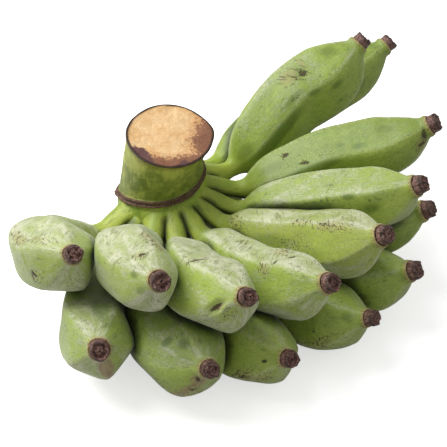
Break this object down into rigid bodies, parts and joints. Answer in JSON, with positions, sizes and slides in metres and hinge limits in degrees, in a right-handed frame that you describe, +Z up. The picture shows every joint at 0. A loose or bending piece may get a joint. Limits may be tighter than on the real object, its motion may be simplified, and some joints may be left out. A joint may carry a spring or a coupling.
{
  "type": "hand of bananas",
  "caption": "Hand of green cooking bananas: ridged, curved fingers in two rows swell from short stems on the crown of a thick cut stalk, each ending in a dry brown flower end.",
  "frame": {"origin": "on the surface the hand rests on, under the middle of its bounding box", "axes": "+Z up; the stalk stands upright towards -X and +Y; the fingers fan out level from the stalk, from -Y round through +X to +X+Y"},
  "size_m": [0.275, 0.3057, 0.1166],
  "materials": {
    "stalk": "satin green-yellow plant skin, with a dry brown bract scar and cream, browning cut flesh on top",
    "finger_skin": "matte green peel under a pale waxy bloom, glossier and yellower on the stems",
    "flower_end": "dry, rough, dark reddish brown"
  },
  "bodies": {
    "root": {"stalk": "stalk", "finger_upper_1": "finger_skin", "flower_end_upper_1": "flower_end", "finger_upper_2": "finger_skin", "flower_end_upper_2": "flower_end", "finger_upper_3": "finger_skin", "flower_end_upper_3": "flower_end", "finger_upper_4": "finger_skin", "flower_end_upper_4": "flower_end", "finger_upper_5": "finger_skin", "flower_end_upper_5": "flower_end", "finger_upper_6": "finger_skin", "flower_end_upper_6": "flower_end", "finger_upper_7": "finger_skin", "flower_end_upper_7": "flower_end", "finger_upper_8": "finger_skin", "flower_end_upper_8": "flower_end", "finger_lower_1": "finger_skin", "flower_end_lower_1": "flower_end", "finger_lower_2": "finger_skin", "flower_end_lower_2": "flower_end", "finger_lower_3": "finger_skin", "flower_end_lower_3": "flower_end", "finger_lower_4": "finger_skin", "flower_end_lower_4": "flower_end", "finger_lower_5": "finger_skin", "flower_end_lower_5": "flower_end", "finger_lower_6": "finger_skin", "flower_end_lower_6": "flower_end", "finger_lower_7": "finger_skin", "flower_end_lower_7": "flower_end"}
  },
  "joints": []
}
